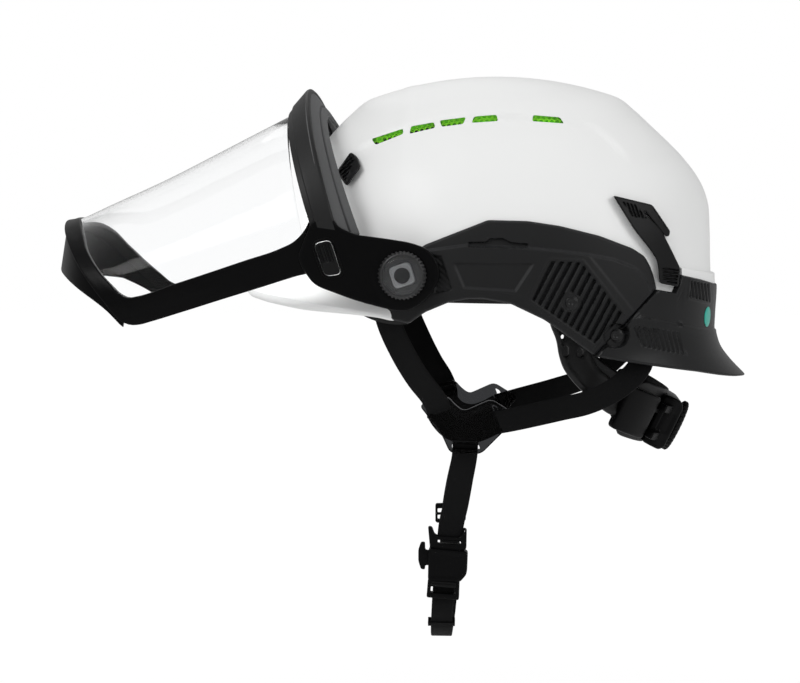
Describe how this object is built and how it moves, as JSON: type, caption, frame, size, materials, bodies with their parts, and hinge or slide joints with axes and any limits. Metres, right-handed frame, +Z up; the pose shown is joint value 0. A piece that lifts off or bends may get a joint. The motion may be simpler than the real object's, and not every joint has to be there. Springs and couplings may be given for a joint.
{
  "type": "hard hat",
  "caption": "Vented industrial safety helmet with a hinged clear face shield raised on side pivots, nape size ratchet and buckled chin-strap harness.",
  "frame": {"origin": "mid-plane of the helmet, inside the shell on the level of its forehead rim, over the wearer's head", "axes": "+Z up through the crown, -Y the way the wearer faces, +X the wearer's left"},
  "size_m": [0.2512, 0.4265, 0.3498],
  "materials": {
    "white_shell": "glossy white moulded thermoplastic",
    "foam_grey": "moulded bead foam",
    "lime_mesh": "lime green honeycomb moulding",
    "charcoal": "charcoal moulded plastic",
    "dark_grey": "dark grey moulded plastic",
    "black_plastic": "black moulded plastic",
    "dark_rivet": "moulded push-rivet heads",
    "teal": "small plain inlay",
    "clear_lens": "clear polycarbonate",
    "smoke": "smoky translucent moulding",
    "cap_clear": "translucent cap",
    "seal_rubber": "soft sealing lip",
    "pad_fabric": "padded textile",
    "webbing": "woven polyester webbing"
  },
  "bodies": {
    "helmet": {"outer_shell": "white_shell", "foam_liner": "foam_grey", "left_honeycomb_panel": "lime_mesh", "right_honeycomb_panel": "lime_mesh", "left_side_cover": "charcoal", "right_side_cover": "charcoal", "nape_guard": "charcoal", "left_rear_lamp_clip": "charcoal", "right_rear_lamp_clip": "charcoal", "left_front_lamp_clip": "charcoal", "right_front_lamp_clip": "charcoal", "left_pivot_adapter": "dark_grey", "right_pivot_adapter": "dark_grey", "cover_rivets": "dark_rivet", "guard_emblem": "teal", "headband": "dark_grey", "brow_pad": "pad_fabric", "crown_pad": "pad_fabric", "left_crown_pad": "pad_fabric", "right_crown_pad": "pad_fabric", "nape_cradle": "dark_grey", "nape_pad": "pad_fabric", "ratchet_housing": "dark_grey", "left_nape_arm": "dark_grey", "right_nape_arm": "dark_grey", "left_front_strap": "webbing", "right_front_strap": "webbing", "left_rear_strap": "webbing", "right_rear_strap": "webbing", "left_lower_strap": "webbing", "left_strap_divider": "smoke", "right_strap_divider": "smoke", "chin_strap": "webbing", "buckle_body": "black_plastic", "buckle_plug": "black_plastic", "buckle_adjuster": "black_plastic", "buckle_bar": "black_plastic", "strap_keeper": "black_plastic", "strap_slider": "black_plastic", "left_front_anchor": "dark_grey", "right_front_anchor": "dark_grey", "left_rear_anchor": "dark_grey", "right_rear_anchor": "dark_grey"},
    "visor": {"visor_carrier": "dark_grey", "visor_lens": "clear_lens", "visor_frame": "dark_grey", "brow_seal": "seal_rubber"},
    "left_knob": {"left_pivot_knob": "dark_grey", "left_knob_cap": "cap_clear"},
    "right_knob": {"right_pivot_knob": "dark_grey", "right_knob_cap": "cap_clear"},
    "left_release": {"left_release_button": "dark_grey"},
    "right_release": {"right_release_button": "dark_grey"},
    "size_dial": {"ratchet_knob": "black_plastic", "ratchet_pinion": "black_plastic"},
    "left_size_rack": {"left_rack": "black_plastic"},
    "right_size_rack": {"right_rack": "black_plastic"},
    "buckle_release": {"buckle_button": "black_plastic"}
  },
  "joints": [
    {"name": "visor_hinge", "type": "hinge", "parent": "helmet", "child": "visor", "pos_m": [0, -0.0478, 0.0135], "axis": [1, 0, 0], "range_deg": [0, 72]},
    {"name": "left_knob_turn", "type": "hinge", "parent": "helmet", "child": "left_knob", "pos_m": [0.1145, -0.0478, 0.0135], "axis": [1, 0, 0], "range_deg": [-90, 0]},
    {"name": "right_knob_turn", "type": "hinge", "parent": "helmet", "child": "right_knob", "pos_m": [-0.1145, -0.0478, 0.0135], "axis": [1, 0, 0], "range_deg": [0, 90]},
    {"name": "left_release_press", "type": "slide", "parent": "visor", "child": "left_release", "axis": [-1, 0, 0], "range_m": [0, 0.0012], "stiffness_N_per_m": 400},
    {"name": "right_release_press", "type": "slide", "parent": "visor", "child": "right_release", "axis": [1, 0, 0], "range_m": [0, 0.0012], "stiffness_N_per_m": 400},
    {"name": "size_dial_turn", "type": "hinge", "parent": "helmet", "child": "size_dial", "pos_m": [0, 0.10581, -0.07938], "axis": [0, 0.8988, -0.4384], "range_deg": [-120, 60]},
    {"name": "left_rack_travel", "type": "hinge", "parent": "helmet", "child": "left_size_rack", "pos_m": [0, 0.0384, -0.0465], "axis": [0, 0.4384, 0.8988], "range_deg": [-3.89, 7.73]},
    {"name": "right_rack_travel", "type": "hinge", "parent": "helmet", "child": "right_size_rack", "pos_m": [0, 0.0384, -0.0465], "axis": [0, 0.4384, 0.8988], "range_deg": [-7.73, 3.89]},
    {"name": "buckle_press", "type": "slide", "parent": "helmet", "child": "buckle_release", "axis": [0, 1, 0], "range_m": [0, 0.0018], "stiffness_N_per_m": 300}
  ],
  "couplings": [
    {"joint": "left_rack_travel", "follows": "size_dial_turn", "ratio": -0.064},
    {"joint": "right_rack_travel", "follows": "size_dial_turn", "ratio": 0.064}
  ]
}
